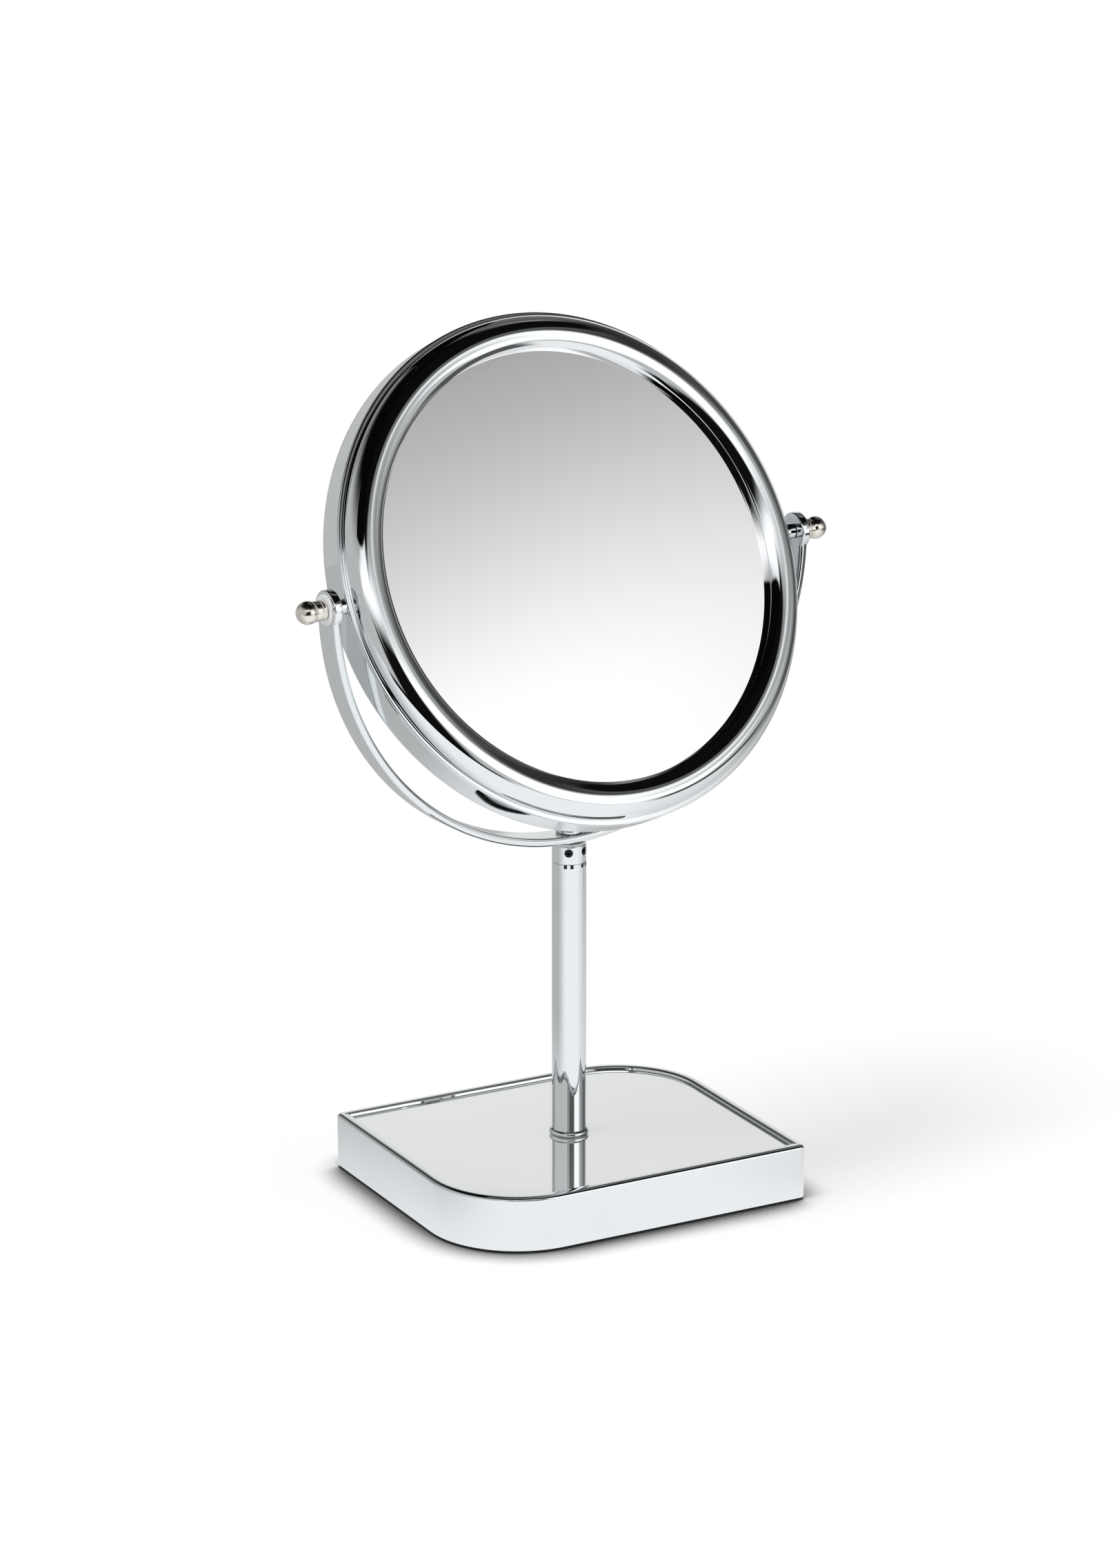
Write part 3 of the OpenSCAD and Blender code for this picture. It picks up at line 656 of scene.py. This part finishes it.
# %% the mirror on the base
PANE, PANE_HOLE, GLASS_GAP, GROUND = 3.0, 13.3, 0.3, 0.35
glass_top = GLASS_TOP / MM
pane = outline_solid("base_mirror", [
    (RIM_WIDTH + GLASS_GAP, glass_top - PANE), (RIM_WIDTH + GLASS_GAP, glass_top - GROUND),
    (RIM_WIDTH + GLASS_GAP + GROUND, glass_top),
], closed=False, hole=PANE_HOLE)
fit(pane, "base", "base_glass")
pane.data.materials[0] = BASE_GLASS

# %% [markdown]
# The post is drawn tube, cut and slightly rounded at its mouth, with room inside for the
# flange of its guide. Short slots in the mouth take a fitting key: they are cut with boxes,
# in pairs under the set screws of the cap. The collar on the glass is a half round ring.

# %% the post and its collar
POST_RADIUS, POST_WALL, LIP, SEAM = 6.35, 1.0, 0.08, 0.06
FLANGE_ROOM = 6.15
post_top, post_bottom, cap_bottom = POST_TOP / MM, POST_BOTTOM / MM, CAP_BOTTOM / MM
mouth = cap_bottom - SEAM
LOCK_DROP, LOCK_TURNS = 2.4, (-30, 32)
lock_height = Matrix.Translation((0, 0, CAP_TOP - LOCK_DROP * MM))
lying = Matrix.Rotation(math.pi / 2, 4, "X")
lock_frames = [
    lock_height @ Matrix.Rotation(math.radians(turn), 4, "Z") @ lying for turn in LOCK_TURNS
]
SLOT_ASIDE, SLOT_WIDTH, SLOT_HEIGHT, SLOT_DEPTH = 1.2, 1.2, 1.5, 2.8
SLOT_ROOM, SLOT_OVER, SHARP_CUT = 0.2, 0.1, 28
slot_drop = CAP_TOP / MM - LOCK_DROP - mouth + SLOT_HEIGHT / 2
post = turned("post", [
    (POST_RADIUS - POST_WALL, post_bottom), (POST_RADIUS, post_bottom),
    (POST_RADIUS, mouth - SLOT_HEIGHT - SLOT_ROOM),
    *arc((POST_RADIUS - LIP, mouth - LIP), (LIP, LIP), 0, 90, 4),
    (FLANGE_ROOM, mouth), (FLANGE_ROOM, post_top), (POST_RADIUS - POST_WALL, post_top),
    (POST_RADIUS - POST_WALL, post_bottom),
])
for lock_frame in lock_frames:
    for aside in (-SLOT_ASIDE, SLOT_ASIDE):
        bpy.ops.object.select_all(action="DESELECT")
        bpy.ops.mesh.primitive_cube_add(size=MM)
        tool = bpy.context.object
        tool.scale = (SLOT_WIDTH, SLOT_HEIGHT + SLOT_OVER, SLOT_DEPTH)
        bpy.ops.object.transform_apply(location=True, rotation=True, scale=True)
        seat(tool, lock_frame @ Matrix.Translation(
            (aside * MM, (SLOT_OVER / 2 - slot_drop) * MM, POST_RADIUS * MM)))
        combine(post, tool, "DIFFERENCE")
tidy_faces(post, SHARP_CUT)
fit(post, "base", "post_tube")
COLLAR_RADIUS, COLLAR_ROUND, COLLAR_GAP = 7.4, 1.1, 0.05
collar_bore, collar_middle = POST_RADIUS + COLLAR_GAP, glass_top + COLLAR_ROUND
collar = turned("post_foot_collar", [
    (collar_bore, glass_top),
    *arc((COLLAR_RADIUS - COLLAR_ROUND, collar_middle), (COLLAR_ROUND, COLLAR_ROUND), -75, 85, 16),
    (collar_bore, collar_middle + COLLAR_ROUND - COLLAR_GAP), (collar_bore, glass_top),
])
fit(collar, "base", "post_collar")

# %% [markdown]
# A thinner tube slides in the post. Only its top shows while the mast is down, so it is a
# plain drawn tube with the same finish. The cap on it is as thick as the post, and two set
# screws in its side hold the bolt of the yoke.

# %% the sliding tube and its cap
INNER_RADIUS, INNER_WALL, INNER_EASE = 4.75, 1.0, 0.15
tube_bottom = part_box("sliding_tube")[0][2] / MM
tube = turned("inner_tube", [
    (INNER_RADIUS - INNER_WALL, tube_bottom), (INNER_RADIUS - INNER_EASE, tube_bottom),
    (INNER_RADIUS, tube_bottom + INNER_EASE), (INNER_RADIUS, cap_bottom),
    (INNER_RADIUS - INNER_WALL, cap_bottom), (INNER_RADIUS - INNER_WALL, tube_bottom),
])
fit(tube, "mast", "sliding_tube")
CHAMFER, CAP_ROUND = 0.08, 0.5
STEM, STEM_RADIUS, STEM_TIP, STEM_CONE = 20.0, 3.74, 3.6, 0.3
LOCK_RADIUS, THREAD, LOCK_HOLE = 1.65, 0.05, (1, 8)
BOLT_BORE, BOLT_DEPTH = 2.45, 14.3
cap_top, stem_bottom = CAP_TOP / MM, cap_bottom - STEM
cap = turned("mast_top", [
    (0, stem_bottom), (STEM_TIP, stem_bottom), (STEM_RADIUS, stem_bottom + STEM_CONE),
    (STEM_RADIUS, cap_bottom),
    (POST_RADIUS - CHAMFER, cap_bottom), (POST_RADIUS, cap_bottom + CHAMFER),
    *arc((POST_RADIUS - CAP_ROUND, cap_top - CAP_ROUND), (CAP_ROUND,) * 2, 0, 90, 5), (0, cap_top),
], sharp_deg=SHARP_CUT)
for lock_frame in lock_frames:
    combine(cap, cutter(LOCK_RADIUS - THREAD, *LOCK_HOLE, lock_frame), "DIFFERENCE")
combine(cap, cutter(BOLT_BORE, cap_top - BOLT_DEPTH, cap_top + OVER), "DIFFERENCE")
tidy_faces(cap, SHARP_CUT)
fit(cap, "mast", "mast_cap")

# %% [markdown]
# Each set screw is a short bar with a cone point and a hexagon socket, and its face lies a
# little under the cap's. It is turned on its own axis in the cap, and its socket is then cut.

# %% the set screws in the cap
SCREW_IN, SCREW_EASE = 0.25, 0.2
POINT, POINT_RADIUS, POINT_END = 2.5, 0.9, 3.3
LOCK_SOCKET, LOCK_SOCKET_DEPTH = 0.95, 1.1
screw_face = POST_RADIUS - SCREW_IN
locks = []
for name, lock_frame in zip(("set_screw", "second_set_screw"), lock_frames):
    lock = turned(name, [
        (0, POINT), (POINT_RADIUS, POINT), (LOCK_RADIUS, POINT_END),
        (LOCK_RADIUS, screw_face - SCREW_EASE), (LOCK_RADIUS - SCREW_EASE, screw_face),
        (0, screw_face),
    ], steps=64, place=lock_frame)
    socket = cutter(LOCK_SOCKET, screw_face - LOCK_SOCKET_DEPTH, screw_face + OVER, lock_frame,
                    sides=6)
    combine(lock, socket, "DIFFERENCE")
    tidy_faces(lock)
    locks.append(lock)
fit(locks[0], "mast", "lock_screw")
locks[1].data.materials.append(FINISHES["black_steel"])
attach(locks[1], "mast")

# %% [markdown]
# The yoke's bolt has a low domed head with a hexagon socket, and the yoke turns on it
# between a nylon washer and a wavy spring washer.

# %% the yoke's bolt
bolt_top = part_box("yoke_bolt")[1][2] / MM
bolt_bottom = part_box("yoke_bolt")[0][2] / MM
HEAD_RADIUS, HEAD_HEIGHT, HEAD_EDGE, HEAD_EASE = 5.0, 1.9, 0.665, 0.15
SHANK, SHANK_TIP, SHANK_CONE, BOLT_SOCKET = 2.5, 2.1, 0.5, 1.8
head_foot = bolt_top - HEAD_HEIGHT
bolt = turned("yoke_screw", [
    (0, bolt_bottom), (SHANK_TIP, bolt_bottom), (SHANK, bolt_bottom + SHANK_CONE),
    (SHANK, head_foot), (HEAD_RADIUS - HEAD_EASE, head_foot), (HEAD_RADIUS, head_foot + HEAD_EASE),
    *arc((0, head_foot + HEAD_EDGE), (HEAD_RADIUS, HEAD_HEIGHT - HEAD_EDGE), 0, 90, 16),
], steps=96)
socket_floor = head_foot + HEAD_EDGE * 0.75
combine(bolt, cutter(BOLT_SOCKET, socket_floor, bolt_top + OVER, sides=6), "DIFFERENCE")
tidy_faces(bolt, sharp_deg=25)
fit(bolt, "mast", "yoke_bolt")

# %% [markdown]
# The yoke is one flat strap bent to a half circle, with round eyes at its ends. The
# strap's section is a plane with bevelled corners, spun half a turn about the pivots'
# middle. The eyes are added to it, and the holes are then cut.

# %% the yoke
YOKE_INSIDE, STRAP, STRAP_WIDTH, STRAP_ROUND = 99.4, 3.2, 11.5, 1.35
EYE_RADIUS, EYE_ROUND, EYE_PROUD = 7.0, 0.5, 0.02
PIVOT_BORE, BOLT_ROOM, BOLT_REACH = 2.05, 2.55, 6
bpy.ops.object.select_all(action="DESELECT")
bpy.ops.mesh.primitive_plane_add(size=1)
yoke = bpy.context.object
yoke.name = yoke.data.name = "bent_strap"
yoke.scale = (STRAP * MM, STRAP_WIDTH * MM, 1)
yoke.location = ((YOKE_INSIDE + STRAP / 2) * MM, 0, 0)
bpy.ops.object.transform_apply(location=True, rotation=True, scale=True)
bpy.ops.object.mode_set(mode="EDIT")
bpy.ops.mesh.select_all(action="SELECT")
bpy.ops.mesh.bevel(offset=STRAP_ROUND * MM, segments=10, affect="VERTICES")
bpy.ops.transform.rotate(value=math.pi / 2, orient_axis="X", center_override=(0, 0, 0))
bpy.ops.object.mode_set(mode="OBJECT")
print("points in the strap's section:", len(yoke.data.vertices))
bpy.ops.object.mode_set(mode="EDIT")
bpy.ops.mesh.select_all(action="SELECT")
bpy.ops.mesh.spin(steps=144, angle=math.pi, center=(0, 0, 0), axis=(0, 0, 1))
bpy.ops.object.mode_set(mode="OBJECT")
tidy_faces(yoke)
seat(yoke, Matrix.Rotation(math.pi / 2, 4, "X"))
eye_near, eye_far = YOKE_INSIDE - EYE_PROUD, YOKE_INSIDE + STRAP + EYE_PROUD
for side in (on_left, on_right):
    eye = turned("eye", [
        (0, eye_near), (EYE_RADIUS - EYE_ROUND, eye_near),
        *arc((EYE_RADIUS - EYE_ROUND, eye_near + EYE_ROUND), (EYE_ROUND,) * 2, -90, 0, 5),
        *arc((EYE_RADIUS - EYE_ROUND, eye_far - EYE_ROUND), (EYE_ROUND,) * 2, 0, 90, 5),
        (0, eye_far),
    ], steps=96, place=side)
    combine(yoke, eye, "UNION")
    bore = cutter(PIVOT_BORE, YOKE_INSIDE - OVER, YOKE_INSIDE + STRAP + OVER, side)
    combine(yoke, bore, "DIFFERENCE")
seat(yoke, yoke_frame)
combine(yoke, cutter(BOLT_ROOM, cap_top, cap_top + BOLT_REACH), "DIFFERENCE")
tidy_faces(yoke, sharp_deg=30)
fit(yoke, "yoke", "yoke")

# %% [markdown]
# The drum is the plain cylinder between the two bezels. Its edges are eased, so the seam
# with each bezel catches a thin dark line.

# %% the drum of the head
VIEW, DRUM, WALL, DRUM_FRONT, DRUM_REAR = 80.3, 95.2, 1.2, 2.4, 7.5
EASE, DRUM_BORE, BORE_REACH = 0.12, 2.2, 3
drum = turned("drum_wall", [
    (DRUM - WALL, -DRUM_REAR), (DRUM - EASE, -DRUM_REAR), (DRUM, -DRUM_REAR + EASE),
    (DRUM, DRUM_FRONT - EASE), (DRUM - EASE, DRUM_FRONT), (DRUM - WALL, DRUM_FRONT),
    (DRUM - WALL, -DRUM_REAR),
], steps=288, place=head_frame)
for side in (on_left, on_right):
    bore = cutter(DRUM_BORE, DRUM - WALL - BORE_REACH, DRUM + BORE_REACH, head_frame @ side)
    combine(drum, bore, "DIFFERENCE")
tidy_faces(drum, sharp_deg=30)
fit(drum, "head", "drum")

# %% [markdown]
# Each bezel is a spun ring with a full round shoulder outside and a concave slope down to
# the mirror. The front one starts with a small bead and a groove. These curves carry all
# the dark and bright bands of the chrome, so their sections have the most points.

# %% the bezels
CROWN, CROWN_HEIGHT, BEZEL_WALL, SLOPE_BEND = 86.2, 4.5, 1.2, 2.9
MIRROR_LIP, LIP_HEIGHT, LIP_ROUND, LIP_BEND, SLOPE_END = 1.6, 2.4, 0.25, 0.06, 0.15
BACK_START, BACK_HEIGHT, FACE_GAP = 0.1, 0.3, 0.02
GROOVE, BEAD, EDGE_STEP, EDGE_HEIGHT = 0.3, 0.55, 1.7, 1.8
FRONT_FACE, REAR_FACE = 6.2, 8.2


def bezel_section(edge, edge_height, face):
    """The section of a bezel from its edge over the shoulder and crown to the mirror and back."""
    crown_height, inside = face + CROWN_HEIGHT, face + CROWN_HEIGHT - BEZEL_WALL
    inner = edge - BEZEL_WALL
    return [
        *arc((CROWN, edge_height), (edge - CROWN, crown_height - edge_height), 0, 90, 26)[:-1],
        *bow((CROWN, crown_height), (VIEW + SLOPE_BEND, crown_height),
             (VIEW + LIP_ROUND, face + LIP_HEIGHT + SLOPE_END), 24),
        *bow((VIEW + LIP_ROUND * 0.5, face + LIP_HEIGHT + LIP_BEND), (VIEW, face + LIP_HEIGHT),
             (VIEW, face + LIP_HEIGHT - LIP_ROUND), 3),
        (VIEW, face + FACE_GAP), (VIEW + MIRROR_LIP, face + FACE_GAP),
        *bow((VIEW + MIRROR_LIP + BACK_START, face + BACK_HEIGHT), (VIEW + SLOPE_BEND, inside),
             (CROWN, inside), 8)[:-1],
        *arc((CROWN, edge_height), (inner - CROWN, inside - edge_height), 90, 0, 10),
    ]


front_edge = DRUM - EDGE_STEP
bead_points = arc((DRUM - BEAD, DRUM_FRONT + BEAD), (BEAD, BEAD), -90, 90, 10)
front_bezel = turned("front_ring", [
    *bead_points, (front_edge - GROOVE, DRUM_FRONT + 2 * BEAD),
    (front_edge, DRUM_FRONT + 2 * BEAD + GROOVE),
    *bezel_section(front_edge, DRUM_FRONT + EDGE_HEIGHT, FRONT_FACE),
    (front_edge - BEZEL_WALL, DRUM_FRONT), bead_points[0],
], steps=288, place=head_frame)
fit(front_bezel, "head", "front_bezel")
flipped = head_frame @ Matrix.Rotation(math.pi, 4, "X")
rear_bezel = turned("rear_ring", [
    (DRUM, DRUM_REAR), *bezel_section(DRUM, DRUM_REAR + GROOVE, REAR_FACE),
    (DRUM - WALL, DRUM_REAR), (DRUM, DRUM_REAR),
], steps=288, place=flipped)
fit(rear_bezel, "head", "rear_bezel")

# %% [markdown]
# The plain mirror is a flat round pane with ground edges, and the magnifying one is a
# shallow dish, hollow towards the rear. The bezels cover the edges of both.

# %% the two mirrors
PANE_RADIUS, MIRROR_PANE, HOLLOW, DISH_STEPS = 83.7, 3.0, 900.0, 24
plain = turned("plain_mirror", [
    (0, FRONT_FACE - MIRROR_PANE), (PANE_RADIUS - GROUND, FRONT_FACE - MIRROR_PANE),
    (PANE_RADIUS, FRONT_FACE - MIRROR_PANE + GROUND), (PANE_RADIUS, FRONT_FACE - GROUND),
    (PANE_RADIUS - GROUND, FRONT_FACE), (0, FRONT_FACE),
], steps=192, place=head_frame)
fit(plain, "head", "front_glass")


def hollow(radius):
    """The depth of the dish, from its middle up to a radius."""
    return HOLLOW - math.sqrt(HOLLOW ** 2 - radius ** 2)


edge_depth = hollow(PANE_RADIUS)
dish_radii = [PANE_RADIUS * i / DISH_STEPS for i in range(DISH_STEPS + 1)]
dish = turned("magnifying_mirror", [
    *[(r, REAR_FACE - edge_depth + hollow(r)) for r in dish_radii],
    *[(r, REAR_FACE - edge_depth + hollow(r) - MIRROR_PANE) for r in reversed(dish_radii)],
], steps=192, place=flipped)
fit(dish, "head", "rear_glass")

# %% [markdown]
# A spacer, a nylon washer and a nickel knob stand in line on each pivot. A knob is turned
# from one bar: a collar on the washer, a neck with a groove, and a ball with a flat tip.

# %% spacers, washers and knobs
PIVOT, PLAY = 2.0, 0.05
SPACER_RADIUS, SPACER_EASE, SPACER_GAP = 2.9, 0.2, 0.3
WASHER, WASHER_RADIUS, WASHER_EASE = 0.5, 5.5, 0.1
KNOB_SEAT, KNOB_LENGTH, NECK, BALL, TIP = 103.4, 10.6, 3.75, 4.25, 0.02
TAIL_END, TAIL_CONE = 89.8, 0.3
# Rows of the neck: how deep it is cut under its own radius, and how high over its seat or
# how far under the ball's middle.
NECK_ROWS = [(0.2, 0), (0, 0.2), (0, 1.5), (0.35, 1.8), (0.35, 2.3), (0, 2.6)]
NECK_TOP_ROWS = [(0, 2.4), (0.15, 2.2)]
ball_middle = KNOB_SEAT + KNOB_LENGTH - BALL
YOKE_OUTSIDE = YOKE_INSIDE + STRAP
spacer_end, washer_top = YOKE_INSIDE - SPACER_GAP, YOKE_OUTSIDE + WASHER
for side, label in ((on_left, "left"), (on_right, "right")):
    spacer = turned(label + "_spacer_tube", [
        (PIVOT + PLAY, DRUM + PLAY), (SPACER_RADIUS, DRUM + PLAY),
        (SPACER_RADIUS, spacer_end - SPACER_EASE), (SPACER_RADIUS - SPACER_EASE, spacer_end),
        (PIVOT + PLAY, spacer_end), (PIVOT + PLAY, DRUM + PLAY),
    ], steps=72, place=head_frame @ side)
    fit(spacer, "head", label + "_spacer")
    washer = turned(label + "_nylon_washer", [
        (PIVOT + PLAY, YOKE_OUTSIDE), (WASHER_RADIUS - WASHER_EASE, YOKE_OUTSIDE),
        (WASHER_RADIUS, YOKE_OUTSIDE + WASHER_EASE), (WASHER_RADIUS, washer_top - WASHER_EASE),
        (WASHER_RADIUS - WASHER_EASE, washer_top), (PIVOT + PLAY, washer_top),
        (PIVOT + PLAY, YOKE_OUTSIDE),
    ], steps=72, place=yoke_frame @ side)
    fit(washer, "yoke", label + "_washer")
    knob = turned(label + "_ball_knob", [
        (0, TAIL_END), (PIVOT - TAIL_CONE, TAIL_END), (PIVOT, TAIL_END + TAIL_CONE),
        (PIVOT, KNOB_SEAT),
        *[(NECK - cut, KNOB_SEAT + height) for cut, height in NECK_ROWS],
        *[(NECK - cut, ball_middle - drop) for cut, drop in NECK_TOP_ROWS],
        *arc((0, ball_middle), (BALL, BALL), -32, 84, 22), (0, KNOB_SEAT + KNOB_LENGTH - TIP),
    ], steps=96, place=head_frame @ side)
    fit(knob, label + "_knob", label + "_knob")
